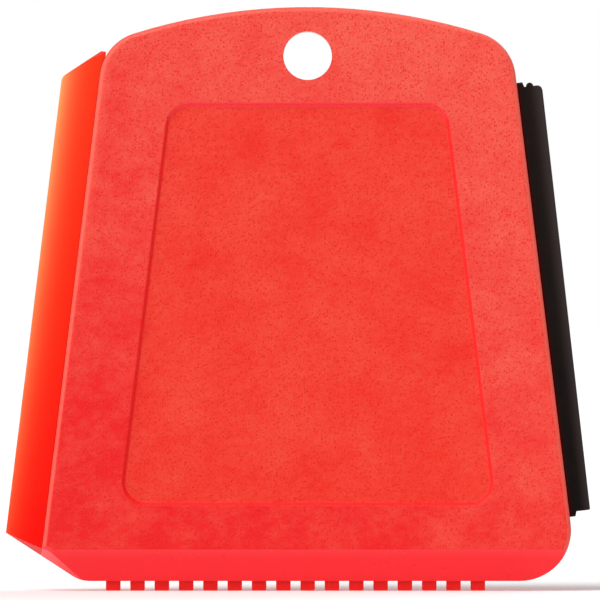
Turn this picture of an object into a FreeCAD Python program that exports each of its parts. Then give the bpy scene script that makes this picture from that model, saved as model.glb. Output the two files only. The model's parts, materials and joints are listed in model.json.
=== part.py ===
"""Palm-size ice scraper: two half shells that clamp a scraping blade, a toothed comb and a rubber squeegee.

Frame, in millimetres: X to the right, Y to the back, Z up. The origin is the centre of the hang hole,
in the plane where the two shells meet. The front face looks along -Y.
"""
import FreeCAD, Part
import math
import os
from FreeCAD import Vector

# Driving sizes, millimetres and degrees
body_height = 118.0          # crown of the top arc to the lower edge of the shells
base_width = 111.0           # shells at their lower edge, before the corners are cut
side_angle = 7.0             # lean of each side away from upright
body_thickness = 12.0        # front face to back face
crown_radius = 120.0         # the arc along the top
crown_corner_radius = 10.0   # where the top arc meets a side
base_corner_radius = 10.5    # lower right corner
end_cut_run = 8.7            # lower left corner: how far the slanting cut starts from the corner
cut_corner_radius = 7.0      # where that cut meets the lower edge
end_cut_angle = 33.0         # slant of that cut, and of the blade's two ends
end_lean = 19.0              # how far the slanting cuts lean in towards the faces
hole_radius = 5.0            # hang hole
hole_drop = 10.0             # crown to the hang hole's centre
wall = 2.0                   # shell walls
edge_round = 1.2             # rounding round each face
bevel_height = 6.4           # slope above the lower edge
panel_margin_top = 20.1      # crown to the panel's top edge
panel_margin_base = 15.9     # panel's lower edge to the shells' lower edge
panel_margin_side = 15.0     # panel's slanting edges to the shells' sides
panel_corner_radius = 4.5
panel_depth = 0.6
panel_slope = 0.95           # width of the curved wall round the panel
panel_bands = 6              # strips that make up that wall
blade_reach = 7.75           # blade's edge to the shells' left side
blade_drop = 14.3            # crown to the upper corner of the blade's edge
blade_edge = 1.2             # thickness of the scraping edge
blade_step = 0.35            # how far the blade's root sits below the rounded edge of the shells
blade_tongue = 8.0           # tongue held between the shells
blade_tongue_thickness = 3.0
blade_corner_radius = 2.0    # upper corner of the scraping edge
blade_top_cover = 0.6        # how far the blade's upper end runs in past the line of the shells' side
blade_top_flat = 0.8         # height of the sharp tip that is cut off that end
tongue_overlap = 1.9         # how far the tongue runs out into the wedge
comb_thickness = 2.0
comb_tongue = 9.5            # comb's spine above the shells' lower edge
comb_lip = 0.6               # thickness of each shell's lower edge beside the comb
tooth_count = 16
tooth_pitch = 5.0
tooth_width = 3.0
tooth_length = 2.0
tooth_round = 0.35
first_tooth = -40.0          # centre of the tooth nearest the blade
strip_length = 90.0          # rubber strip
strip_middle_drop = 60.2     # crown to the middle of the strip
lip_length = 88.0            # moving lip, a little shorter than its strip
lip_reach_top = 5.2          # lip's edge to the shells' right side, upper end
lip_reach_base = 4.4         # the same at the lower end
lip_root_thickness = 1.6
lip_edge_thickness = 0.9
flange_reach = 1.3           # collar of the strip outside the shells
flange_thickness = 3.2
neck_thickness = 1.3
bead_radius = 1.6            # bead that holds the strip in its channel
bead_depth = 3.8             # shells' right side to the bead's centre
hinge_offset = 0.3           # lip's bending line outside the collar
nub_radius = 0.75            # moulding nub on the lip's upper end
nub_offset = 2.65            # shells' right side to the nub's centre
rib_thickness = 1.0
rib_pitch = 20.0
pin_radius = 1.5
pin_depth = 2.2              # how far a pin enters its socket
boss_wall = 1.5
blade_pin_inset = 4.8        # shells' left side to the blade's pins
blade_pin_heights = (0.16, 0.5, 0.84)    # up that side, as shares of body_height
comb_pin_rise = 7.4          # shells' lower edge to the comb's pins
comb_pin_spots = (-0.28, 0.0, 0.28)      # across the comb, as shares of base_width
crown_pin_drop = 12.0        # crown to the two upper pins
crown_pin_spots = (-0.27, 0.27)          # across the top, as shares of base_width
strip_pin_inset = 8.0        # edge of the strip's bead to the pins beside it
strip_pin_heights = (0.2, 0.66)          # up the right side, as shares of body_height

# Clearances
seam_gap = 0.06              # parting line round the blade
pin_gap = 0.05
slot_gap = 0.10              # round the rubber neck, the tongues and the comb
rib_gap = 0.10               # between the ribs of the two shells
lip_gap = 0.15               # between the lip's round root and the collar's groove
end_gap = 0.30               # ends of the channel and of the tongue slots

half = body_thickness / 2
crown_z = hole_drop
base_z = hole_drop - body_height
lean = math.radians(side_angle)
cut_angle = math.radians(end_cut_angle)
side_in = Vector(-math.cos(lean), 0, -math.sin(lean))     # from the right side into the shells
side_up = Vector(-math.sin(lean), 0, math.cos(lean))      # up along the right side
reach = 4 * max(body_height, base_width)                  # longer than anything in the model
tiny = 1e-6                                               # two lengths this close count as equal


# Geometry helpers

def at(x, z, y=0.0):
    return Vector(x, y, z)


def mirrored(v):
    return Vector(-v.x, v.y, v.z)


def half_space(point, normal):
    """Everything beyond a plane: a huge box that stands on it."""
    box = Part.makeBox(reach, reach, reach, Vector(-reach / 2, -reach / 2, 0))
    turn = FreeCAD.Rotation(Vector(0, 0, 1), normal)
    box.Placement = FreeCAD.Placement(point, turn)
    return box


def prism(wire, y_low, y_high):
    """A flat outline in the XZ plane made solid between two depths."""
    face = Part.Face(wire)
    face.translate(Vector(0, y_low, 0))
    return face.extrude(Vector(0, y_high - y_low, 0))


def cylinder(radius, y_low, y_high, x, z):
    return Part.makeCylinder(radius, y_high - y_low, at(x, z, y_low), Vector(0, 1, 0))


def crossing(p, d, q, e):
    """Where two lines in the XZ plane cross, each given by a point and a direction."""
    det = d.x * -e.z + e.x * d.z
    t = ((q.x - p.x) * -e.z + e.x * (q.z - p.z)) / det
    return p + d * t


def round_through(start, middle_of, radius, end):
    """A short arc from start to end about a centre, bulging away from it."""
    way = ((start + end) * 0.5 - middle_of).normalize()
    return Part.Arc(start, middle_of + way * radius, end).toShape()


def line(a, b):
    return Part.LineSegment(a, b).toShape()


# The shells' outline

def right_corner():
    return at(base_width / 2, base_z)


def crown_corner():
    """Centre of the arc that joins the top arc to the right side, and where it touches each."""
    centre = at(0, crown_z - crown_radius)
    start = right_corner() + side_in * crown_corner_radius
    gap = start - centre
    along = gap.dot(side_up)
    short = crown_radius - crown_corner_radius
    rise = -along + math.sqrt(along * along - gap.dot(gap) + short * short)
    middle = start + side_up * rise
    on_side = middle - side_in * crown_corner_radius
    on_crown = centre + (middle - centre) * (crown_radius / short)
    return middle, on_side, on_crown


def end_cut_line():
    """Lower left cut: a point on the lower edge, and its direction up to the left."""
    start = at(-base_width / 2 + end_cut_run, base_z)
    return start, at(-math.cos(cut_angle), math.sin(cut_angle))


def outline():
    """Rounded trapezium with an arched top, its lower left corner cut off on a slant and rounded."""
    middle, on_side, on_crown = crown_corner()
    corner = right_corner()
    r = base_corner_radius
    low = at(corner.x - r * (1 + math.sin(lean)) / math.cos(lean), base_z + r)
    low_floor = at(low.x, base_z)
    low_side = low - side_in * r
    cut_start, cut_way = end_cut_line()
    cut_end = crossing(cut_start, cut_way, mirrored(corner), mirrored(side_up))
    run = cut_corner_radius * math.tan(cut_angle / 2)
    cut_floor = cut_start + Vector(run, 0, 0)
    cut_slant = cut_start + cut_way * run
    cut_middle = cut_floor + Vector(0, 0, cut_corner_radius)
    top = at(0, crown_z)
    edges = [
        line(cut_floor, low_floor),
        round_through(low_floor, low, r, low_side),
        line(low_side, on_side),
        round_through(on_side, middle, crown_corner_radius, on_crown),
        Part.Arc(on_crown, top, mirrored(on_crown)).toShape(),
        round_through(mirrored(on_crown), mirrored(middle), crown_corner_radius, mirrored(on_side)),
        line(mirrored(on_side), cut_end),
        line(cut_end, cut_slant),
        round_through(cut_slant, cut_middle, cut_corner_radius, cut_floor),
    ]
    return Part.Wire(edges)


def cut_faces(inset, blade_top=False):
    """The two leaning planes of a slanting end cut, as (point, outward normal), moved in by inset."""
    tilt = math.radians(end_lean)
    if blade_top:
        start = at(-base_width / 2, crown_z - blade_drop) + left_out() * blade_reach
        start = crossing(start, at(1, 0), blade_edge_point(), mirrored(side_up))
        out = at(-math.sin(cut_angle), math.cos(cut_angle))
    else:
        start = end_cut_line()[0]
        out = at(-math.sin(cut_angle), -math.cos(cut_angle))
    faces = []
    for side in (-1, 1):
        normal = out * math.cos(tilt) + Vector(0, side, 0) * math.sin(tilt)
        point = start + Vector(0, side * blade_edge / 2, 0) - normal * inset
        faces.append((point, normal))
    return faces


def bevel_faces(inset):
    """The sloping planes above the lower edge, front and back, moved in by inset."""
    lower = comb_thickness / 2 + comb_lip
    rise = half - lower
    faces = []
    for side in (-1, 1):
        normal = Vector(0, side * bevel_height, -rise).normalize()
        point = at(0, base_z, side * lower) - normal * inset
        faces.append((point, normal))
    return faces


def body_form(inset):
    """The closed form that both shells make together, with every surface moved in by inset."""
    wire = outline()
    if inset:
        wire = wire.makeOffset2D(-inset)
    form = prism(wire, inset - half, half - inset)
    for point, normal in bevel_faces(inset) + cut_faces(inset):
        form = form.cut(half_space(point, normal))
    return form


def rounded_form():
    """The body form with its face edges rounded."""
    form = body_form(0)
    rims = []
    for edge in form.Edges:
        box = edge.BoundBox
        if box.YLength < tiny and abs(abs(box.YMin) - half) < tiny:
            rims.append(edge)
    return form.makeFillet(edge_round, rims)


# Sunk panel

def panel_wire(grow, y):
    """Rounded trapezium whose slanting edges run beside the shells' sides."""
    top = crown_z - panel_margin_top + grow
    low = base_z + panel_margin_base - grow
    side = right_corner() + side_in * (panel_margin_side - grow)
    upper = crossing(side, side_up, at(0, top), at(1, 0))
    lower = crossing(side, side_up, at(0, low), at(1, 0))
    corners = [at(lower.x, low, y), at(upper.x, top, y), at(-upper.x, top, y), at(-lower.x, low, y)]
    return rounded_polygon(corners, panel_corner_radius + grow)


def rounded_polygon(corners, radius):
    """A closed outline through the corners, each rounded by an arc of this radius."""
    edges = []
    count = len(corners)
    arcs = []
    for i in range(count):
        before = (corners[i - 1] - corners[i]).normalize()
        after = (corners[(i + 1) % count] - corners[i]).normalize()
        turn = math.acos(before.dot(after)) / 2
        run = radius / math.tan(turn)
        middle = corners[i] + (before + after).normalize() * (radius / math.sin(turn))
        arcs.append((corners[i] + before * run, middle, corners[i] + after * run))
    for i in range(count):
        start, middle, end = arcs[i]
        edges.append(round_through(start, middle, radius, end))
        edges.append(line(end, arcs[(i + 1) % count][0]))
    return Part.Wire(edges)


def panel_cut(side):
    """The shallow pocket of the panel. Its wall bends smoothly out of the face and into the floor: at a share t
    of the wall's width the depth is 3 t^2 - 2 t^3 of the whole."""
    rings = [panel_wire(panel_slope / 2, side * (half + wall))]
    for i in range(panel_bands + 1):
        share = i / panel_bands
        sunk = panel_depth * share * share * (3 - 2 * share)
        rings.append(panel_wire(panel_slope * (0.5 - share), side * (half - sunk)))
    return Part.makeLoft(rings, True, True)


# Places of the pins that locate the shells, the blade and the comb

def left_out():
    return mirrored(side_in * -1)


def blade_edge_point():
    """A point on the line of the scraping edge."""
    return mirrored(right_corner()) + left_out() * blade_reach


def pin_places():
    """(point, half of the gap that the two bosses leave for a tongue between them)."""
    places = []
    blade_inset = left_out() * -blade_pin_inset
    for share in blade_pin_heights:
        on_side = mirrored(right_corner()) + mirrored(side_up) * (body_height * share)
        places.append((on_side + blade_inset, blade_tongue_thickness / 2))
    for share in comb_pin_spots:
        places.append((at(base_width * share, base_z + comb_pin_rise), comb_thickness / 2))
    for share in crown_pin_spots:
        places.append((at(base_width * share, crown_z - crown_pin_drop), 0.0))
    strip = right_corner() + side_in * (bead_depth + bead_radius + strip_pin_inset)
    for share in strip_pin_heights:
        places.append((strip + side_up * (body_height * share), 0.0))
    return places


# Shells

def rib_lattice(side):
    """Upright and level stiffening ribs behind the face, short of the other shell by rib_gap."""
    ribs = []
    y_low = rib_gap / 2 if side > 0 else -half
    y_high = half if side > 0 else -rib_gap / 2
    z = crown_z - panel_margin_top
    while z > base_z + panel_margin_base:
        box = Part.makeBox(base_width, y_high - y_low, rib_thickness)
        box.translate(Vector(-base_width / 2, y_low, z - rib_thickness / 2))
        ribs.append(box)
        z -= rib_pitch
    for x in (-rib_pitch, 0.0, rib_pitch):
        box = Part.makeBox(rib_thickness, y_high - y_low, body_height)
        box.translate(Vector(x - rib_thickness / 2, y_low, base_z))
        ribs.append(box)
    return ribs


def strip_frame(along, inward, y):
    """A point by its place on the rubber strip: up along it from its middle, into the shells, and depth."""
    side = right_corner()
    middle = crossing(side, side_up, at(0, crown_z - strip_middle_drop), at(1, 0))
    return middle + side_up * along + side_in * inward + Vector(0, y, 0)


def strip_box(along, inward, y):
    """A box in the strip's own directions, each given as (low, high)."""
    box = Part.makeBox(inward[1] - inward[0], y[1] - y[0], along[1] - along[0])
    turn = FreeCAD.Rotation(Vector(0, 1, 0), -side_angle)
    box.translate(Vector(-inward[1], 0, 0))
    box.Placement = FreeCAD.Placement(strip_frame(along[0], 0, y[0]), turn).multiply(box.Placement)
    return box


def channel_ribs(side):
    """The rib behind the rubber bead, its two end stops, and the row of seats that the bead rests on."""
    inner = bead_depth + bead_radius + slot_gap
    end = strip_length / 2 + end_gap
    low = bead_radius + slot_gap
    tall = (rib_gap / 2, half) if side > 0 else (-half, -rib_gap / 2)
    seat = (low, half) if side > 0 else (-half, -low)
    ribs = [strip_box((-end, end), (inner, inner + rib_thickness), tall)]
    for stop in (-end - rib_thickness, end):
        ribs.append(strip_box((stop, stop + rib_thickness), (0, inner + rib_thickness), tall))
    count = int(strip_length // (rib_pitch / 2))
    step = strip_length / count
    for i in range(count):
        place = (i + 0.5) * step - strip_length / 2
        ribs.append(strip_box((place, place + rib_thickness), (0, inner), seat))
    return ribs


def strip_slot():
    """Room for the rubber neck through the shells' right wall."""
    end = strip_length / 2 + end_gap
    y = neck_thickness / 2 + slot_gap
    return strip_box((-end, end), (-wall, bead_depth), (-y, y))


def tongue_room(grow):
    """The blade's tongue, with grow of room on every side: a plate inside the left side."""
    edge = mirrored(right_corner())
    low = blade_low_end() + mirrored(side_up) * (wall + edge_round)
    high = mirrored(crown_corner()[1])
    low_on_side = crossing(edge, mirrored(side_up), low, left_out())
    inward = left_out() * -1
    start = low_on_side - mirrored(side_up) * grow + left_out() * tongue_overlap
    finish = high + mirrored(side_up) * grow + left_out() * tongue_overlap
    depth = inward * (blade_tongue + tongue_overlap + grow)
    wire = Part.makePolygon([start, finish, finish + depth, start + depth, start])
    y = blade_tongue_thickness / 2 + grow
    return prism(wire, -y, y)


def comb_room(grow):
    """The comb's spine, with grow of room on every side."""
    low = first_tooth - tooth_width / 2 - grow
    high = first_tooth + (tooth_count - 1) * tooth_pitch + tooth_width / 2 + grow
    y = comb_thickness / 2 + grow
    box = Part.makeBox(high - low, 2 * y, comb_tongue + grow + tooth_length)
    box.translate(Vector(low, -y, base_z - tooth_length))
    return box


def shell(side):
    """One half shell. side is -1 for the front and 1 for the back; the back one carries the pins."""
    kept = rib_lattice(side) + channel_ribs(side)
    kept.append(cylinder(hole_radius + wall, -half, half, 0, 0))
    for place, gap in pin_places():
        foot = place + Vector(0, side * gap, 0)
        kept.append(Part.makeCylinder(pin_radius + boss_wall, half, foot, Vector(0, side, 0)))
    hollow = body_form(wall).cut(kept)
    made = rounded_form().cut(hollow)
    made = made.cut(half_space(Vector(0, 0, 0), Vector(0, -side, 0)))
    made = made.cut([strip_slot(), bead_room(), tongue_room(slot_gap), comb_room(slot_gap)])
    made = made.cut([cylinder(hole_radius, -body_thickness, body_thickness, 0, 0), panel_cut(side)])
    for place, gap in pin_places():
        if side < 0:
            depth = gap + pin_depth + 2 * pin_gap
            made = made.cut(cylinder(pin_radius + pin_gap, -depth, half, place.x, place.z))
        else:
            made = made.fuse(cylinder(pin_radius, -gap - pin_depth, gap + wall, place.x, place.z))
    return made.removeSplitter()


# Blade and comb

def blade_low_end():
    """Where the slanting cut meets the line of the scraping edge."""
    start, way = end_cut_line()
    return crossing(start, way, blade_edge_point(), mirrored(side_up))


def blade_high_end():
    return crossing(at(0, crown_z - blade_drop), at(1, 0), blade_edge_point(), mirrored(side_up))


def blade_wedge():
    """The wedge outside the shells, from its root to the scraping edge, with both ends cut on a slant."""
    low = blade_low_end()
    high = blade_high_end()
    cut_way = at(math.cos(cut_angle), math.sin(cut_angle))
    deep = 2 * blade_reach
    high_in = high + cut_way * deep
    low_in = low + at(cut_way.x, -cut_way.z) * deep
    wire = Part.makePolygon([low, high, high_in, low_in, low])
    root_half = half - edge_round - blade_step
    form = prism(wire, -root_half, root_half)
    out = left_out()
    for side in (-1, 1):
        normal = (Vector(0, side, 0) * blade_reach + out * (root_half - blade_edge / 2)).normalize()
        form = form.cut(half_space(low + Vector(0, side * blade_edge / 2, 0), normal))
    for point, normal in cut_faces(0) + cut_faces(0, blade_top=True):
        form = form.cut(half_space(point, normal))
    return form


def scraper_blade():
    """Clear blade: the wedge, and a tongue with holes for the pins. The wedge stops just past the shells' side,
    with its tip cut off flat, so that no thin sliver follows the rounded corner above it."""
    around = prism(outline().makeOffset2D(seam_gap), -half, half)
    inward = left_out() * -1
    past_side = mirrored(right_corner()) + inward * blade_top_cover
    up = mirrored(side_up)
    corner = blade_high_end()
    tip = crossing(corner, at(math.cos(cut_angle), math.sin(cut_angle)), past_side, up)
    wedge = blade_wedge().cut([around, half_space(past_side, inward), half_space(tip - up * blade_top_flat, up)])
    upright = []
    for edge in wedge.Edges:
        box = edge.BoundBox
        near = Vector(box.Center.x - corner.x, 0, box.Center.z - corner.z).Length
        if box.YLength > blade_edge * 0.9 and near < blade_corner_radius:
            upright.append(edge)
    wedge = wedge.makeFillet(blade_corner_radius, upright)
    tongue = tongue_room(0).common(body_form(0).fuse(blade_wedge())).cut(comb_room(slot_gap))
    blade = wedge.fuse(tongue)
    for place, gap in pin_places():
        blade = blade.cut(cylinder(pin_radius + pin_gap, -half, half, place.x, place.z))
    return blade.removeSplitter()


def tooth_comb():
    """Comb of square teeth on a spine with holes for the pins."""
    spine = comb_room(0).cut(half_space(at(0, base_z + seam_gap), Vector(0, 0, -1)))
    teeth = []
    y = comb_thickness / 2
    for i in range(tooth_count):
        x = first_tooth + i * tooth_pitch
        tooth = Part.makeBox(tooth_width, comb_thickness, tooth_length + 2 * seam_gap)
        tooth.translate(Vector(x - tooth_width / 2, -y, base_z - tooth_length))
        ends = []
        for edge in tooth.Edges:
            box = edge.BoundBox
            if box.YLength > y and abs(box.ZMin - (base_z - tooth_length)) < tiny:
                ends.append(edge)
        teeth.append(tooth.makeFillet(tooth_round, ends))
    comb = spine.fuse(teeth)
    for place, gap in pin_places():
        comb = comb.cut(cylinder(pin_radius + pin_gap, -half, half, place.x, place.z))
    return comb.removeSplitter()


# Rubber strip

def bead_room():
    """The hollow that the bead lies in, a little larger than the bead."""
    end = strip_length / 2 + end_gap
    axis = strip_frame(-end, bead_depth, 0)
    return Part.makeCylinder(bead_radius + slot_gap, 2 * end, axis, side_up)


def squeegee_base():
    """Fixed part of the rubber: bead, neck, and the collar with a groove for the lip's round root."""
    low = -strip_length / 2
    bead = Part.makeCylinder(bead_radius, strip_length, strip_frame(low, bead_depth, 0), side_up)
    y = neck_thickness / 2
    neck = strip_box((low, -low), (-flange_reach / 2, bead_depth), (-y, y))
    y = flange_thickness / 2
    collar = strip_box((low, -low), (-flange_reach, 0), (-y, y))
    groove = lip_root_thickness / 2 + lip_gap
    axis = strip_frame(low, -flange_reach - hinge_offset, 0)
    base = bead.fuse([neck, collar]).cut(Part.makeCylinder(groove, strip_length, axis, side_up))
    return base.removeSplitter()


def squeegee_lip():
    """Moving part of the rubber: a tapered lip on a round root, with the moulding nub at its upper end."""
    low = -lip_length / 2
    hinge = flange_reach + hinge_offset
    r = lip_root_thickness / 2
    tip = lip_edge_thickness / 2
    root = Part.makeCylinder(r, lip_length, strip_frame(low, -hinge, 0), side_up)
    corners = [(hinge, r), (lip_reach_top, tip), (lip_reach_top, -tip), (hinge, -r), (hinge, r)]
    blade = Part.Face(Part.makePolygon([strip_frame(low, -n, y) for n, y in corners]))
    blade = blade.extrude(side_up * lip_length)
    high = strip_frame(-low, -lip_reach_top, 0)
    slant = (strip_frame(low, -lip_reach_base, 0) - high).normalize()
    outward = Vector(-slant.z, 0, slant.x)
    blade = blade.cut(half_space(high, outward))
    place = strip_frame(-low, -nub_offset, 0)
    nub = cylinder(nub_radius, -r, r, place.x, place.z)
    return root.fuse([blade, nub]).removeSplitter()


# Build

os.makedirs("parts", exist_ok=True)
nodes = {
    "front_shell": shell(-1),
    "rear_shell": shell(1),
    "scraper_blade": scraper_blade(),
    "tooth_comb": tooth_comb(),
    "squeegee_base": squeegee_base(),
    "squeegee_lip": squeegee_lip(),
}
hinge_line = strip_frame(0, -flange_reach - hinge_offset, 0)
print("lip hinge", hinge_line, "axis", side_up)
for name, shape in nodes.items():
    shape.exportStep("parts/" + name + ".step")
    box = shape.BoundBox
    print(name, len(shape.Solids), "solid(s), valid", shape.isValid(), "volume", round(shape.Volume, 1),
          "box", [round(v, 2) for v in (box.XMin, box.YMin, box.ZMin, box.XMax, box.YMax, box.ZMax)])
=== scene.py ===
"""Looks for a palm-size ice scraper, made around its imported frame. Lengths are in metres."""
import json
import math

import bpy
import numpy as np
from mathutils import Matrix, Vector


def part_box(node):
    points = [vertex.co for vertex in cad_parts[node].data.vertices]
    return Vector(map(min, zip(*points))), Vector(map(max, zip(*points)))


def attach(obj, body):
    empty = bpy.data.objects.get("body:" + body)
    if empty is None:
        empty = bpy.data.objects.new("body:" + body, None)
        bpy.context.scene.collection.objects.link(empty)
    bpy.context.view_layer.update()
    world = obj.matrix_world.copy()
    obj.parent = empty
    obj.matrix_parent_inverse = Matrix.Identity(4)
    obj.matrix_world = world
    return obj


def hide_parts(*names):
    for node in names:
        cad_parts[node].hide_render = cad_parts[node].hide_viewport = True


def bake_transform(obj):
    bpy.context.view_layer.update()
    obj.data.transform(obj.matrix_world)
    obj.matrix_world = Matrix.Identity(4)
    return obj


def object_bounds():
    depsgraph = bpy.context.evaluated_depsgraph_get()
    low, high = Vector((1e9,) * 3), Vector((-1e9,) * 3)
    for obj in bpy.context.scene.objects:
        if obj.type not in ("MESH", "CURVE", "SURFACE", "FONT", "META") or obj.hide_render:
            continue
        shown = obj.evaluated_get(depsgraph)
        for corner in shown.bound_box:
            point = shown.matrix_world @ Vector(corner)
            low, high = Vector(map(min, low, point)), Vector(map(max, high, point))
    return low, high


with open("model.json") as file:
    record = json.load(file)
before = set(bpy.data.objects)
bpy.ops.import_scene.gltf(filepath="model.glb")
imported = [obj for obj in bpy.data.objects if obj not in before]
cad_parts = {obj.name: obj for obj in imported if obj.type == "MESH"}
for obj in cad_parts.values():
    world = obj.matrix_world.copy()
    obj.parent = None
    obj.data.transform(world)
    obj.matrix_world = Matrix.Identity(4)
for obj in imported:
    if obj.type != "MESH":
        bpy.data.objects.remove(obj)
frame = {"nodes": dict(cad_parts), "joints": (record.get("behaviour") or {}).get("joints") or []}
cad_box = [list(corner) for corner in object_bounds()]
nodes = frame["nodes"]


# Half shells: two grained halves of red plastic, moulded in spark-eroded cavities and pressed together
# on hidden pins. Their faces are sandy and slightly cloudy, the slope above the lower edge is smooth,
# and a hairline seam runs round the sides where they meet.

def node(tree, kind, inputs=None, **settings):
    """Adds a shader node; a socket among the inputs is linked and anything else is set as a value."""
    made = tree.nodes.new(kind)
    for name, value in settings.items():
        setattr(made, name, value)
    for key, value in (inputs or {}).items():
        if isinstance(value, bpy.types.NodeSocket):
            tree.links.new(value, made.inputs[key])
        else:
            made.inputs[key].default_value = value
    return made


def maths(tree, operation, first, second=0.0, third=0.0, clamp=False):
    """Output of one Math node."""
    inputs = {0: first, 1: second, 2: third}
    return node(tree, "ShaderNodeMath", inputs, operation=operation, use_clamp=clamp).outputs[0]


def spread(tree, value, low, high, to_low=0.0, to_high=1.0, smooth=True):
    """Output of a Map Range node, clamped, with soft ends unless smooth is False."""
    inputs = {"Value": value, "From Min": low, "From Max": high, "To Min": to_low, "To Max": to_high}
    kind = "SMOOTHSTEP" if smooth else "LINEAR"
    return node(tree, "ShaderNodeMapRange", inputs, interpolation_type=kind).outputs["Result"]


def along(tree, position, direction):
    """Distance of a position along a direction."""
    inputs = {0: position, 1: tuple(direction)}
    return node(tree, "ShaderNodeVectorMath", inputs, operation="DOT_PRODUCT").outputs["Value"]


def noise(tree, position, size, detail=2.0, rough=0.5):
    """Value of a noise with features of about this size."""
    inputs = {"Vector": position, "Scale": 1.0 / size, "Detail": detail, "Roughness": rough}
    return node(tree, "ShaderNodeTexNoise", inputs).outputs["Fac"]


def blended(tree, share, first, second, mode="MIX"):
    """Colour output of a Mix node."""
    made = node(tree, "ShaderNodeMix", data_type="RGBA", blend_type=mode)
    for socket, value in ((made.inputs[0], share), (made.inputs[6], first), (made.inputs[7], second)):
        if isinstance(value, bpy.types.NodeSocket):
            tree.links.new(value, socket)
        else:
            socket.default_value = value
    return made.outputs[2]


def shader_group(name, inputs, outputs):
    """An empty node group with named sockets: its tree, its input node and its output node."""
    tree = bpy.data.node_groups.new(name, "ShaderNodeTree")
    for label, kind, value in inputs:
        socket = tree.interface.new_socket(label, in_out="INPUT", socket_type=kind)
        if value is not None:
            socket.default_value = value
    for label, kind in outputs:
        tree.interface.new_socket(label, in_out="OUTPUT", socket_type=kind)
    return tree, tree.nodes.new("NodeGroupInput").outputs, tree.nodes.new("NodeGroupOutput").inputs


def use(tree, group, inputs):
    """Places a node group in a material and gives its outputs."""
    return node(tree, "ShaderNodeGroup", inputs, node_tree=group).outputs


def plastic(name, rough, specular):
    """A new material: its node tree, its Principled shader and its object coordinates."""
    material = bpy.data.materials.new(name)
    material.use_nodes = True
    tree = material.node_tree
    tree.nodes.clear()
    shader = node(tree, "ShaderNodeBsdfPrincipled", {"Roughness": rough, "Specular IOR Level": specular})
    node(tree, "ShaderNodeOutputMaterial", {"Surface": shader.outputs[0]})
    place = node(tree, "ShaderNodeTexCoord").outputs
    return material, tree, shader, place


def wear(material, *names):
    """Gives CAD nodes a material in their own slots."""
    for name in names:
        for slot in nodes[name].material_slots:
            slot.material = material


def bumped(tree, shader, height):
    """Tilts a shader's normals by a height in metres."""
    bump = node(tree, "ShaderNodeBump", {"Strength": 1.0, "Distance": 1.0, "Height": height})
    tree.links.new(bump.outputs[0], shader.inputs["Normal"])


def grain_group():
    """Moulded grain: small dark pits scattered over part of the surface, with finer grit between them. Height
    is how far the surface stands above the pits; Specks is 0 in a pit and near 1 on the plain surface."""
    tree, given, put = shader_group(
        "moulded grain",
        [("Vector", "NodeSocketVector", None), ("Size", "NodeSocketFloat", 0.0006),
         ("Depth", "NodeSocketFloat", 0.00004)],
        [("Height", "NodeSocketFloat"), ("Specks", "NodeSocketFloat")])
    scale = maths(tree, "DIVIDE", 1.0, given["Size"])
    cells = node(tree, "ShaderNodeTexVoronoi", {"Vector": given["Vector"], "Scale": scale, "Randomness": 1.0})
    pit_core, pit_rim, pit_depth, grit_scale = 0.10, 0.62, 0.55, 1.8
    pit = spread(tree, cells.outputs["Distance"], pit_core, pit_rim, 1.0, 0.0)
    draw = node(tree, "ShaderNodeSeparateColor", {0: cells.outputs["Color"]}).outputs[0]
    pit = maths(tree, "MULTIPLY", pit, spread(tree, draw, 0.05, 0.95))
    fine = node(tree, "ShaderNodeTexNoise", {"Vector": given["Vector"],
                                             "Scale": maths(tree, "MULTIPLY", scale, grit_scale),
                                             "Detail": 2.0, "Roughness": 0.6})
    surface = maths(tree, "MULTIPLY_ADD", pit, -pit_depth, fine.outputs["Fac"])
    tree.links.new(maths(tree, "MULTIPLY", surface, given["Depth"]), put["Height"])
    tree.links.new(spread(tree, surface, -0.05, 0.62, smooth=False), put["Specks"])
    return tree


def cloud_group():
    """Cloudy tint: two sizes of soft clouds, the smaller drawn out a little sideways as the melt flowed, as a
    value round 0.5."""
    tree, given, put = shader_group(
        "cloudy tint",
        [("Vector", "NodeSocketVector", None), ("Size", "NodeSocketFloat", 0.012),
         ("Contrast", "NodeSocketFloat", 1.0)],
        [("Cloud", "NodeSocketFloat")])
    scale = maths(tree, "DIVIDE", 1.0, given["Size"])
    wide = node(tree, "ShaderNodeTexNoise", {"Vector": given["Vector"], "Scale": scale, "Detail": 3.0,
                                             "Roughness": 0.55})
    flow = node(tree, "ShaderNodeMapping", {"Vector": given["Vector"], "Scale": (0.85, 1.0, 1.15)})
    small_scale = maths(tree, "MULTIPLY", scale, 5.0)
    small = node(tree, "ShaderNodeTexNoise", {"Vector": flow.outputs[0], "Scale": small_scale, "Detail": 3.0,
                                              "Roughness": 0.6})
    both = maths(tree, "MULTIPLY_ADD", small.outputs["Fac"], 0.7, wide.outputs["Fac"])
    centred = maths(tree, "SUBTRACT", both, 0.85)
    scaled = maths(tree, "MULTIPLY_ADD", centred, given["Contrast"], 0.5, clamp=True)
    tree.links.new(scaled, put["Cloud"])
    return tree


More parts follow.
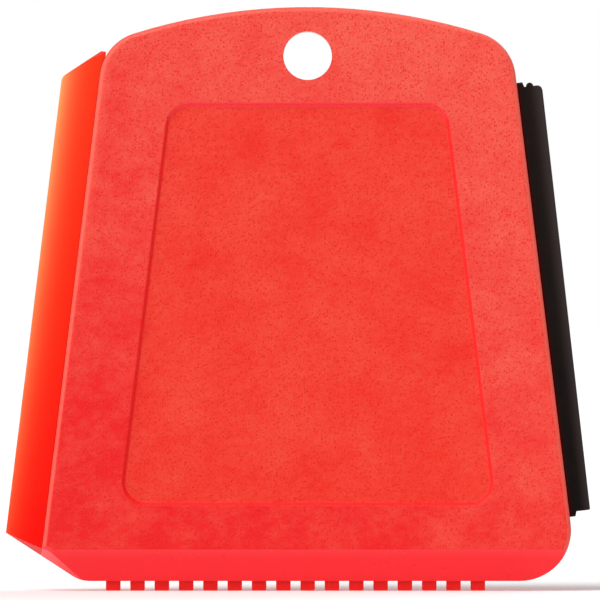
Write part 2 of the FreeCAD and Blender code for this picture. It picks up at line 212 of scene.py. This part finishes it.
def scuff_group():
    """Scuffs and dust: thin slanting scratches broken up by a patch mask, and sparse dust specks."""
    tree, given, put = shader_group(
        "scuffs and dust",
        [("Vector", "NodeSocketVector", None), ("Scuff", "NodeSocketFloat", 0.5),
         ("Dust", "NodeSocketFloat", 0.5)],
        [("Scratches", "NodeSocketFloat"), ("Specks", "NodeSocketFloat")])
    turned = node(tree, "ShaderNodeMapping", {"Vector": given["Vector"], "Rotation": (0.0, 0.6, 0.0),
                                              "Scale": (1400.0, 60.0, 45.0)})
    lines = node(tree, "ShaderNodeTexNoise", {"Vector": turned.outputs[0], "Scale": 1.0, "Detail": 1.0})
    thin = spread(tree, lines.outputs["Fac"], 0.70, 0.78)
    patch = spread(tree, noise(tree, given["Vector"], 0.016), 0.55, 0.72)
    scratched = maths(tree, "MULTIPLY", maths(tree, "MULTIPLY", thin, patch), given["Scuff"])
    tree.links.new(scratched, put["Scratches"])
    cells = node(tree, "ShaderNodeTexVoronoi", {"Vector": given["Vector"], "Scale": 260.0})
    dots = spread(tree, cells.outputs["Distance"], 0.03, 0.07, 1.0, 0.0)
    chosen = spread(tree, noise(tree, given["Vector"], 0.009), 0.52, 0.70)
    dusted = maths(tree, "MULTIPLY", maths(tree, "MULTIPLY", dots, chosen), given["Dust"])
    tree.links.new(dusted, put["Specks"])
    return tree


def edge_group():
    """Rounded edges: 1 where the surface faces between front and side, 0 on flat faces, on upright sides and on
    anything that faces the floor. Side is 1 on the upright sides alone."""
    tree, given, put = shader_group("rounded edges", [("Normal", "NodeSocketVector", None)],
                                    [("Edge", "NodeSocketFloat"), ("Side", "NodeSocketFloat")])
    facing = node(tree, "ShaderNodeSeparateXYZ", {0: given["Normal"]}).outputs
    depth = maths(tree, "ABSOLUTE", facing["Y"])
    lit = spread(tree, facing["Z"], -0.45, -0.15)
    rising = spread(tree, depth, 0.15, 0.55)
    falling = spread(tree, depth, 0.90, 0.985, 1.0, 0.0)
    edge = maths(tree, "MULTIPLY", rising, falling)
    tree.links.new(maths(tree, "MULTIPLY", edge, lit), put["Edge"])
    tree.links.new(spread(tree, depth, 0.2, 0.5, 1.0, 0.0), put["Side"])
    return tree


moulded_grain = grain_group()
cloudy_tint = cloud_group()
scuffs_and_dust = scuff_group()
rounded_edges = edge_group()

SHELL_PALE = (0.80, 0.102, 0.066, 1.0)
SHELL_DEEP = (0.76, 0.0035, 0.0050, 1.0)
PANEL_RED = (0.78, 0.044, 0.0, 1.0)
SMOOTH_RED = (0.93, 0.0165, 0.024, 1.0)
SLOPE_HIGHLIGHT_PALE = (0.95, 0.060, 0.072, 1.0)
WALL_SHADE_RED = (0.82, 0.002, 0.003, 1.0)
WORN_AND_HIGHLIGHT_RED = (0.90, 0.130, 0.085, 1.0)
SEAM_DARK = (0.20, 0.002, 0.002, 1.0)
SHELL_SCRATCH = (0.88, 0.16, 0.13, 1.0)
SHELL_DUST = (0.90, 0.42, 0.36, 1.0)
PIT_TINT = (0.92, 0.10, 0.10, 1.0)
PANEL_SHARE = 0.3
PANEL_SIDE = 0.0405
PANEL_TOP = -0.0070
PANEL_BASE = -0.0980
PANEL_BORDER = 0.0005
PAINTED_LIGHT_WAY = (0.5, 0.0, 0.8)
PAINTED_LIGHT_START = -0.085
PAINTED_LIGHT_END = 0.010
PAINTED_LIGHT_LEAST = 0.01
PAINTED_LIGHT_MOST = 0.74
PANEL_PAINTED_LIGHT = 0.22
CLOUD_SHARE = 0.60
PALENESS_DROP = 0.17
WALL_SHADE_SHARE = 0.85
RIM_SHARE = 0.55
SEAM_SHARE = 0.8
SEAM_DEPTH = 0.00012
CLOUD_HEIGHT = 0.00003
SMOOTH_GRAIN = 0.06
SLOPE_HIGHLIGHT_FROM = 0.0042
SLOPE_HIGHLIGHT_SHARE = 0.35
LEFT_HIGHLIGHT_SHARE = 0.30
LEFT_HIGHLIGHT_WIDTH = 0.0030
SHELL_ROUGH = 0.52
SLOPE_POLISH = 0.26
RIM_POLISH = 0.20
SCRATCH_POLISH = 0.15
SIDE_LEAN = math.radians(7.0)
LEFT_OUT = (-math.cos(SIDE_LEAN), 0.0, math.sin(SIDE_LEAN))
SEAM_HALF_WIDTH = 0.00007
BEVEL_RISE = 0.0064

shell_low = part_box("front_shell")[0]
lower_edge = shell_low.z
shell_depth = -shell_low.y
shell_points = np.array([v.co for v in nodes["front_shell"].data.vertices])
left_side = float((shell_points @ np.array(LEFT_OUT)).max())

shell_material, tree, shader, place = plastic("grained red plastic", 0.6, specular=0.3)
position = place["Object"]
xyz = node(tree, "ShaderNodeSeparateXYZ", {0: position}).outputs
slope_end = lower_edge + BEVEL_RISE
smooth_zone = spread(tree, xyz["Z"], slope_end + 0.0001, slope_end - 0.0004)
sideways = maths(tree, "ABSOLUTE", xyz["X"])
depthways = maths(tree, "ABSOLUTE", xyz["Y"])
panel_zone = maths(tree, "MULTIPLY", spread(tree, sideways, PANEL_SIDE, PANEL_SIDE + PANEL_BORDER, 1.0, 0.0),
                   spread(tree, xyz["Z"], PANEL_TOP + PANEL_BORDER, PANEL_TOP))
panel_zone = maths(tree, "MULTIPLY", panel_zone, spread(tree, xyz["Z"], PANEL_BASE - PANEL_BORDER, PANEL_BASE))
outer_zone = maths(tree, "SUBTRACT", 1.0, panel_zone)
sunk = spread(tree, depthways, shell_depth - 0.0005, shell_depth - 0.0001, 1.0, 0.0)
panel_floor = maths(tree, "MULTIPLY", panel_zone, sunk)
cloud = use(tree, cloudy_tint, {"Vector": position, "Size": 0.009, "Contrast": 1.9})["Cloud"]
grain = use(tree, moulded_grain, {"Vector": position, "Size": 0.00052, "Depth": 0.00011})
marks = use(tree, scuffs_and_dust, {"Vector": position, "Scuff": 0.10, "Dust": 0.12})
edges = use(tree, rounded_edges, {"Normal": place["Normal"]})
rough_zone = maths(tree, "SUBTRACT", 1.0, smooth_zone)
# The red is painted paler upwards and to the right round the panel, a painted gradient of light across the
# shells; the panel's floor keeps one even tone.
painted_light = spread(tree, along(tree, position, PAINTED_LIGHT_WAY), PAINTED_LIGHT_START, PAINTED_LIGHT_END, PAINTED_LIGHT_LEAST, PAINTED_LIGHT_MOST,
               smooth=False)
panel_light_offset = maths(tree, "SUBTRACT", PANEL_PAINTED_LIGHT, painted_light)
painted_light = maths(tree, "MULTIPLY_ADD", panel_light_offset, panel_floor, painted_light)
paleness = maths(tree, "MULTIPLY_ADD", cloud, CLOUD_SHARE, painted_light)
paleness = maths(tree, "SUBTRACT", paleness, PALENESS_DROP, clamp=True)
colour = blended(tree, paleness, SHELL_DEEP, SHELL_PALE)
colour = blended(tree, maths(tree, "MULTIPLY", panel_floor, PANEL_SHARE), colour, PANEL_RED)
pits = maths(tree, "SUBTRACT", 1.0, grain["Specks"])
colour = blended(tree, pits, colour, PIT_TINT, "MULTIPLY")
facing = node(tree, "ShaderNodeSeparateXYZ", {0: place["Normal"]}).outputs
underside = spread(tree, facing["Z"], -0.30, -0.15, 1.0, 0.0)
smooth_zone = maths(tree, "MAXIMUM", smooth_zone, underside)
# Painted highlight: the top of the smooth slope, where it rounds over into the face, is painted paler.
slope_highlight = spread(tree, xyz["Z"], lower_edge + SLOPE_HIGHLIGHT_FROM, slope_end, 0.0, SLOPE_HIGHLIGHT_SHARE)
slope = blended(tree, slope_highlight, SMOOTH_RED, SLOPE_HIGHLIGHT_PALE)
colour = blended(tree, smooth_zone, colour, slope)
# Painted shade: the sunken panel's rounded walls, where shade falls, are painted a deeper red; walls that face
# the floor are left out.
wall_shade = maths(tree, "MULTIPLY", edges["Edge"], panel_zone)
colour = blended(tree, maths(tree, "MULTIPLY", wall_shade, WALL_SHADE_SHARE), colour, WALL_SHADE_RED)
# Painted highlight: a pale band along the left edge alone, where light from the left catches the rounded edge,
# fading out towards the bottom.
from_left = maths(tree, "SUBTRACT", left_side, along(tree, position, LEFT_OUT))
left_highlight = maths(tree, "MULTIPLY", spread(tree, from_left, 0.0004, LEFT_HIGHLIGHT_WIDTH, LEFT_HIGHLIGHT_SHARE, 0.0),
                  spread(tree, xyz["Z"], -0.075, -0.020))
colour = blended(tree, left_highlight, colour, WORN_AND_HIGHLIGHT_RED)
# Rounded outer edges are painted paler, partly wear and partly painted highlight; edges that face the floor and
# the smooth slope are left out.
rim = maths(tree, "MULTIPLY", maths(tree, "MULTIPLY", edges["Edge"], outer_zone), rough_zone)
colour = blended(tree, maths(tree, "MULTIPLY", rim, RIM_SHARE), colour, WORN_AND_HIGHLIGHT_RED)
colour = blended(tree, marks["Scratches"], colour, SHELL_SCRATCH)
colour = blended(tree, maths(tree, "MULTIPLY", marks["Specks"], 0.6), colour, SHELL_DUST)
seam_line = spread(tree, depthways, SEAM_HALF_WIDTH, 1.8 * SEAM_HALF_WIDTH, 1.0, 0.0)
seam = maths(tree, "MULTIPLY", seam_line, edges["Side"])
colour = blended(tree, maths(tree, "MULTIPLY", seam, SEAM_SHARE), colour, SEAM_DARK)
tree.links.new(colour, shader.inputs["Base Color"])
rough = maths(tree, "MULTIPLY_ADD", cloud, 0.12, SHELL_ROUGH)
rough = maths(tree, "MULTIPLY_ADD", smooth_zone, -SLOPE_POLISH, rough)
rough = maths(tree, "MULTIPLY_ADD", rim, -RIM_POLISH, rough)
rough = maths(tree, "MULTIPLY_ADD", marks["Scratches"], -SCRATCH_POLISH, rough)
tree.links.new(rough, shader.inputs["Roughness"])
grain_share = maths(tree, "MULTIPLY_ADD", rough_zone, 1.0 - SMOOTH_GRAIN, SMOOTH_GRAIN)
height = maths(tree, "MULTIPLY", grain["Height"], grain_share)
height = maths(tree, "MULTIPLY_ADD", cloud, CLOUD_HEIGHT, height)
height = maths(tree, "MULTIPLY_ADD", seam, -SEAM_DEPTH, height)
bumped(tree, shader, height)
wear(shell_material, "front_shell", "rear_shell")


# Blade: a wedge of clear red plastic, polished in its mould, clamped between the shells by its tongue.
# It is painted orange where it thins to the scraping edge, a painted glow of light shining through the thin
# plastic, more orange towards the top, and the edge is slightly dulled by use.

BLADE_RED_LOW = (0.72, 0.0002, 0.0006, 1.0)
BLADE_RED_HIGH = (0.73, 0.024, 0.005, 1.0)
BLADE_CLOUD = (0.76, 0.024, 0.008, 1.0)
PAINTED_GLOW_LOW = (0.76, 0.045, 0.014, 1.0)
PAINTED_GLOW_HIGH = (0.78, 0.31, 0.100, 1.0)
EDGE_DULL = (0.72, 0.30, 0.20, 1.0)
BLADE_SCRATCH = (0.90, 0.20, 0.12, 1.0)
PAINTED_GLOW_LENGTH = 0.00175
DULLED_WIDTH = 0.0004

blade_points = np.array([v.co for v in nodes["scraper_blade"].data.vertices])
edge_distance = float((blade_points @ np.array(LEFT_OUT)).max())
blade_low, blade_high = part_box("scraper_blade")

blade_material, tree, shader, place = plastic("clear red wedge", 0.24, specular=0.08)
position = place["Object"]
from_edge = maths(tree, "SUBTRACT", edge_distance, along(tree, position, LEFT_OUT))
# Painted light: the orange of light shining through the thin edge fades with distance from the edge.
thin = maths(tree, "EXPONENT", maths(tree, "MULTIPLY", from_edge, -1.0 / PAINTED_GLOW_LENGTH))
xyz = node(tree, "ShaderNodeSeparateXYZ", {0: position}).outputs
upper = spread(tree, xyz["Z"], blade_low.z, blade_high.z, smooth=False)
cloud = use(tree, cloudy_tint, {"Vector": position, "Size": 0.008, "Contrast": 0.8})["Cloud"]
marks = use(tree, scuffs_and_dust, {"Vector": position, "Scuff": 0.2, "Dust": 0.2})
body_red = blended(tree, upper, BLADE_RED_LOW, BLADE_RED_HIGH)
body_red = blended(tree, maths(tree, "MULTIPLY", cloud, 0.12), body_red, BLADE_CLOUD)
painted_glow = blended(tree, upper, PAINTED_GLOW_LOW, PAINTED_GLOW_HIGH)
colour = blended(tree, thin, body_red, painted_glow)
dulled = spread(tree, from_edge, 0.0, DULLED_WIDTH, 1.0, 0.0)
chips = spread(tree, noise(tree, position, 0.0025, 3.0), 0.46, 0.66)
chipped = maths(tree, "MULTIPLY", maths(tree, "MULTIPLY", dulled, chips), 0.4)
colour = blended(tree, chipped, colour, EDGE_DULL)
colour = blended(tree, marks["Scratches"], colour, BLADE_SCRATCH)
tree.links.new(colour, shader.inputs["Base Color"])
rough = maths(tree, "MULTIPLY_ADD", cloud, 0.08, 0.20)
rough = maths(tree, "MULTIPLY_ADD", dulled, 0.2, rough)
tree.links.new(rough, shader.inputs["Roughness"])
height = maths(tree, "MULTIPLY", noise(tree, position, 0.006, 1.0), 0.00010)
height = maths(tree, "MULTIPLY_ADD", marks["Scratches"], -0.00001, height)
bumped(tree, shader, height)
wear(blade_material, "scraper_blade")


# Comb: square teeth on a spine of deep clear red plastic, polished, set back between the shells' lower
# lips and clamped there by its spine. The ends of the teeth are rubbed a little paler.

COMB_DEEP = (0.70, 0.004, 0.004, 1.0)
COMB_BRIGHT = (0.84, 0.012, 0.010, 1.0)
COMB_RUBBED = (0.86, 0.05, 0.035, 1.0)
COMB_SCRATCH = (0.88, 0.14, 0.10, 1.0)
RUBBED_HEIGHT = 0.0006

teeth_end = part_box("tooth_comb")[0].z

comb_material, tree, shader, place = plastic("deep red teeth", 0.22, specular=0.12)
position = place["Object"]
xyz = node(tree, "ShaderNodeSeparateXYZ", {0: position}).outputs
cloud = use(tree, cloudy_tint, {"Vector": position, "Size": 0.004, "Contrast": 1.0})["Cloud"]
marks = use(tree, scuffs_and_dust, {"Vector": position, "Scuff": 0.6, "Dust": 0.4})
colour = blended(tree, cloud, COMB_DEEP, COMB_BRIGHT)
rubbed = spread(tree, xyz["Z"], teeth_end, teeth_end + RUBBED_HEIGHT, 0.4, 0.0)
colour = blended(tree, rubbed, colour, COMB_RUBBED)
colour = blended(tree, marks["Scratches"], colour, COMB_SCRATCH)
tree.links.new(colour, shader.inputs["Base Color"])
rough = maths(tree, "MULTIPLY_ADD", cloud, 0.10, 0.18)
rough = maths(tree, "MULTIPLY_ADD", rubbed, 0.5, rough)
tree.links.new(rough, shader.inputs["Roughness"])
height = maths(tree, "MULTIPLY", noise(tree, position, 0.0015, 2.0), 0.00003)
bumped(tree, shader, height)
wear(comb_material, "tooth_comb")


# Rubber strip: one moulding of black rubber. A round bead and a neck lie in the shells' channel, a collar
# sits against the shells, and a thin lip tapers outwards from the collar.

STRIP_LENGTH = 0.090
LIP_LENGTH = 0.088
COLLAR_REACH = 0.0013
LIP_REACH_TOP = 0.0052
LIP_REACH_BASE = 0.0044
HINGE_REACH = 0.0016
LIP_TOP_CORNER = 0.0011
LIP_BASE_CORNER = 0.0003
LIP_EDGE_ROUND = 0.00042
STRIP_END_ROUND = 0.00040
BEAD_DEPTH = 0.0038
BEAD_RADIUS = 0.0016
NECK_START = 0.00234
DEPTH_WAY = np.array([0.0, 1.0, 0.0])
RUBBER_BLACK = (0.005, 0.0035, 0.003, 1.0)
RUBBER_CLOUD = (0.012, 0.008, 0.007, 1.0)
RUBBER_LIT = (0.020, 0.012, 0.009, 1.0)
RUBBER_WORN = (0.040, 0.030, 0.028, 1.0)
RUBBER_DUST = (0.16, 0.13, 0.12, 1.0)
RED_REFLECTION_SHADE = (0.060, 0.0005, 0.0005, 1.0)
SIDE_OUT = np.array([math.cos(SIDE_LEAN), 0.0, math.sin(SIDE_LEAN)])
SIDE_UP = np.array([-math.sin(SIDE_LEAN), 0.0, math.cos(SIDE_LEAN)])

lip_joint = frame["joints"][0]
strip_middle = np.array(lip_joint["pos_m"]) - SIDE_OUT * HINGE_REACH


def half_thickness(out):
    """Half the strip's thickness at each distance out from the shells' side: a circle for the bead, flat runs
    for the neck and the collar, a hollow curve down to the lip, and a straight taper to the lip's edge."""
    knots = np.array([-5.40, -2.34, -0.05, 0.02, 0.12, 0.85, 1.10, 1.35, 1.65, 2.00, 2.40, 5.20]) / 1000
    halves = np.array([0.00, 0.65, 0.65, 1.35, 1.58, 1.55, 1.42, 1.18, 0.94, 0.80, 0.74, 0.46]) / 1000
    run = np.interp(out, knots, halves)
    bead = np.sqrt(np.clip(BEAD_RADIUS ** 2 - (out + BEAD_DEPTH) ** 2, 0, None))
    return np.where(out < -NECK_START, bead, run)


def edge_round_off(distance, radius):
    """Share of the full thickness near a rounded edge: a quarter circle that starts at 0 at the edge itself."""
    inward = np.clip(distance / radius, 0, 1)
    return np.sqrt(np.clip(1 - (1 - inward) ** 2, 0, 1))


def lip_reach(up):
    """How far out the lip's edge is at each place along the strip: a straight slant less a quarter circle at
    each end, a large one above and a small one below."""
    share = up / LIP_LENGTH + 0.5
    straight = LIP_REACH_BASE + (LIP_REACH_TOP - LIP_REACH_BASE) * share
    top = np.clip(up - (LIP_LENGTH / 2 - LIP_TOP_CORNER), 0, LIP_TOP_CORNER)
    base = np.clip(-up - (LIP_LENGTH / 2 - LIP_BASE_CORNER), 0, LIP_BASE_CORNER)
    top_cut = LIP_TOP_CORNER - np.sqrt(LIP_TOP_CORNER ** 2 - top ** 2)
    base_cut = LIP_BASE_CORNER - np.sqrt(LIP_BASE_CORNER ** 2 - base ** 2)
    return straight - top_cut - base_cut


def new_piece(name, points, faces):
    """A smooth-shaded object from a list of points and of faces."""
    mesh = bpy.data.meshes.new(name)
    mesh.from_pydata(points, [], faces)
    mesh.polygons.foreach_set("use_smooth", np.ones(len(faces), bool))
    mesh.update()
    made = bpy.data.objects.new(name, mesh)
    bpy.context.scene.collection.objects.link(made)
    return made


def sheet_pair(name, points):
    """Closed mesh from two grids that share their border: points has shape (2, rows, columns, 3)."""
    rows, columns = points.shape[1:3]
    index = np.arange(2 * rows * columns).reshape(2, rows, columns)
    index[1, 0, :] = index[0, 0, :]
    index[1, -1, :] = index[0, -1, :]
    index[1, :, 0] = index[0, :, 0]
    index[1, :, -1] = index[0, :, -1]

    def quads(grid, turned):
        """One face for each square of the grid, its corners in reverse where turned."""
        corners = [grid[:-1, :-1], grid[1:, :-1], grid[1:, 1:], grid[:-1, 1:]]
        if turned:
            corners.reverse()
        return np.stack(corners, -1).reshape(-1, 4)

    faces = np.concatenate([quads(index[0], False), quads(index[1], True)])
    used, faces = np.unique(faces, return_inverse=True)
    return new_piece(name, points.reshape(-1, 3)[used].tolist(), faces.reshape(-1, 4).tolist())


def strip_surface():
    """The strip as two mirrored height fields over a grid of places out from the shells and up along them:
    depth = +-half thickness(out) times the round-off at the lip's edge and at both ends."""
    out_share = np.concatenate([
        -BEAD_DEPTH - BEAD_RADIUS * np.cos(np.linspace(0, 0.86 * math.pi, 22)),
        np.array([-2.30, -1.2, -0.10, -0.05, -0.02, 0.00, 0.02, 0.05, 0.08, 0.12,
                  0.3, 0.6, 0.9, 1.05, 1.10, 1.16, 1.22, 1.25, 1.28, 1.30]) / 1000])
    near_edge = 1 - 0.1 * np.cos(np.linspace(0.15, 1, 12) * math.pi / 2)
    lip_share = np.concatenate([np.linspace(0.02, 0.9, 26), near_edge])
    lip_share[-1] = 1.0
    ends = 0.00045 * (1 - np.cos(np.linspace(0, math.pi / 2, 8)))
    middle = np.linspace(0.00046, STRIP_LENGTH - 0.00046, 150)
    up = np.concatenate([ends, middle, STRIP_LENGTH - ends[::-1]]) - STRIP_LENGTH / 2
    lip_up = up * LIP_LENGTH / STRIP_LENGTH
    reach = lip_reach(lip_up)
    fixed = np.broadcast_to(out_share, (len(up), len(out_share)))
    moving = COLLAR_REACH + lip_share * (reach[:, None] - COLLAR_REACH)
    out = np.concatenate([fixed, moving], 1)
    blend_up = np.clip((out - 0.00125) / 0.0003, 0, 1)
    height = up[:, None] * (1 - blend_up) + lip_up[:, None] * blend_up
    thick = half_thickness(out) * edge_round_off(reach[:, None] - out, LIP_EDGE_ROUND)
    end_near = STRIP_LENGTH / 2 - np.abs(up)
    thick = thick * edge_round_off(end_near, STRIP_END_ROUND)[:, None]
    base = strip_middle + out[..., None] * SIDE_OUT + height[..., None] * SIDE_UP
    depth = thick[..., None] * DEPTH_WAY
    return np.stack([base - depth, base + depth])


strip = sheet_pair("rubber_strip", strip_surface())

rubber_material, tree, shader, place = plastic("soft black rubber", 0.5, specular=0.06)
position = place["Object"]
out_from = along(tree, position, SIDE_OUT)
side_at = float(strip_middle @ SIDE_OUT)
cloud = use(tree, cloudy_tint, {"Vector": position, "Size": 0.006, "Contrast": 1.2})["Cloud"]
grain = use(tree, moulded_grain, {"Vector": position, "Size": 0.0005, "Depth": 0.00002})
marks = use(tree, scuffs_and_dust, {"Vector": position, "Scuff": 0.25, "Dust": 0.7})
colour = blended(tree, cloud, RUBBER_BLACK, RUBBER_CLOUD)
xyz = node(tree, "ShaderNodeSeparateXYZ", {0: position}).outputs
# Painted light: the rubber is painted lighter towards the top.
upper = spread(tree, xyz["Z"], -0.095, -0.006)
colour = blended(tree, maths(tree, "MULTIPLY", upper, 0.5), colour, RUBBER_LIT)
worn_edge = spread(tree, out_from, side_at + 0.0022, side_at + LIP_REACH_TOP, 0.0, 1.0)
colour = blended(tree, worn_edge, colour, RUBBER_WORN)
colour = blended(tree, maths(tree, "MULTIPLY", marks["Specks"], 0.35), colour, RUBBER_DUST)
# Painted reflection and shade: a dark red band where the rubber meets the shells, standing for the red shells
# reflected in the rubber and the shade between them.
near_shell_shade = spread(tree, out_from, side_at + 0.0001, side_at + 0.0009, 0.9, 0.0)
colour = blended(tree, near_shell_shade, colour, RED_REFLECTION_SHADE)
tree.links.new(colour, shader.inputs["Base Color"])
rough = maths(tree, "MULTIPLY_ADD", cloud, 0.14, 0.44)
tree.links.new(rough, shader.inputs["Roughness"])
height = maths(tree, "MULTIPLY_ADD", marks["Scratches"], -0.00001, grain["Height"])
bumped(tree, shader, height)
strip.data.materials.append(rubber_material)

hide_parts("squeegee_base", "squeegee_lip")
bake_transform(strip)


# Moulding nub: a short round stud of the same rubber left at the lip's upper end, where the strip was
# fed in its mould.

NUB_OUT = 0.00265
NUB_RADIUS = 0.00075
NUB_HALF_DEPTH = 0.00079


def nub_surface(rings=14, around=40):
    """A stud turned about the depth axis: its radius follows a superellipse, so both faces are domed."""
    swing = np.linspace(-math.pi / 2, math.pi / 2, rings)
    radius = NUB_RADIUS * np.cos(swing) ** 0.55
    depth = NUB_HALF_DEPTH * np.sign(swing) * np.abs(np.sin(swing)) ** 0.8
    turn = np.linspace(0, 2 * math.pi, around, endpoint=False)
    centre = strip_middle + SIDE_OUT * NUB_OUT + SIDE_UP * (LIP_LENGTH / 2)
    ring = np.stack([np.cos(turn), np.zeros(around), np.sin(turn)], 1)
    return centre + radius[:, None, None] * ring + depth[:, None, None] * DEPTH_WAY


def ringed(name, points):
    """Closed mesh from rings of points whose first and last rings shrink to a pole."""
    rings, around = points.shape[:2]
    inner = points[1:-1].reshape(-1, 3)
    poles = np.stack([points[0].mean(0), points[-1].mean(0)])
    index = np.arange(len(inner)).reshape(rings - 2, around)
    after = np.roll(index, -1, 1)
    quads = np.stack([index[:-1], index[1:], after[1:], after[:-1]], -1).reshape(-1, 4)
    first = np.stack([np.full(around, len(inner)), index[0], after[0]], -1)
    last = np.stack([np.full(around, len(inner) + 1), after[-1], index[-1]], -1)
    faces = quads.tolist() + first.tolist() + last.tolist()
    return new_piece(name, np.concatenate([inner, poles]).tolist(), faces)


nub = ringed("lip_nub", nub_surface())
nub.data.materials.append(rubber_material)
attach(nub, "lip")


# Room: a pale floor under the teeth, a white surround, a large soft lamp above on the left, two faint low
# ones in front and on the left, and one behind on the right.

FLOOR_RADIUS = 30.0
FLOOR_SIDES = 96
SURROUND_LIGHT = 0.42

floor_mesh = bpy.data.meshes.new("floor")
turn = np.linspace(0, 2 * math.pi, FLOOR_SIDES, endpoint=False)
floor_level = np.full(FLOOR_SIDES, cad_box[0][2])
rim = np.stack([np.cos(turn) * FLOOR_RADIUS, np.sin(turn) * FLOOR_RADIUS, floor_level], 1)
floor_mesh.from_pydata(rim.tolist(), [], [list(range(FLOOR_SIDES))])
floor = bpy.data.objects.new("floor", floor_mesh)
bpy.context.scene.collection.objects.link(floor)
floor_material, tree, shader, place = plastic("pale floor", 0.9, specular=0.1)
paper = blended(tree, noise(tree, place["Object"], 0.05), (0.90, 0.90, 0.90, 1.0), (0.94, 0.94, 0.94, 1.0))
tree.links.new(paper, shader.inputs["Base Color"])
floor_mesh.materials.append(floor_material)

world = bpy.data.worlds.new("white surround")
world.use_nodes = True
tree = world.node_tree
seen = node(tree, "ShaderNodeLightPath").outputs["Is Camera Ray"]
strength = spread(tree, seen, 0.0, 1.0, SURROUND_LIGHT, 1.0)
tree.links.new(strength, tree.nodes["Background"].inputs["Strength"])
tree.nodes["Background"].inputs["Color"].default_value = (1.0, 1.0, 1.0, 1.0)
bpy.context.scene.world = world
bpy.context.scene.view_settings.view_transform = "Standard"


def soft_sun(name, azimuth, elevation, strength, softness):
    """A distant lamp that shines from this azimuth (0 in front, 90 on the right) and elevation, in degrees."""
    lamp = bpy.data.lights.new(name, "SUN")
    lamp.energy = strength
    lamp.angle = math.radians(softness)
    turn, rise = math.radians(azimuth), math.radians(elevation)
    towards = Vector((math.sin(turn) * math.cos(rise), -math.cos(turn) * math.cos(rise), math.sin(rise)))
    made = bpy.data.objects.new(name, lamp)
    made.location = towards
    made.rotation_mode = "QUATERNION"
    made.rotation_quaternion = towards.to_track_quat("Z", "Y")
    bpy.context.scene.collection.objects.link(made)


soft_sun("key_lamp", -38.0, 50.0, 2.45, 36.0)
soft_sun("front_lamp", 5.0, 3.0, 0.15, 20.0)
soft_sun("side_lamp", -78.0, 6.0, 0.55, 14.0)
soft_sun("back_lamp", 150.0, 40.0, 0.7, 40.0)


# Camera: level with the middle of the tool, square to its front face, with a long lens. VIEW_WIDTH is what
# it sees across the plane where the shells meet.

LENS = 1000.0
SENSOR = 36.0
VIEW_WIDTH = 0.12346
VIEW_CENTRE = (-0.00158, -0.0502)

camera_data = bpy.data.cameras.new("camera")
camera_data.lens = LENS
camera_data.sensor_width = SENSOR
camera_data.clip_end = 100.0
camera = bpy.data.objects.new("camera", camera_data)
distance = VIEW_WIDTH * LENS / SENSOR
camera.location = (VIEW_CENTRE[0], -distance, VIEW_CENTRE[1])
camera.rotation_euler = (math.pi / 2, 0.0, 0.0)
bpy.context.scene.collection.objects.link(camera)
bpy.context.scene.camera = camera
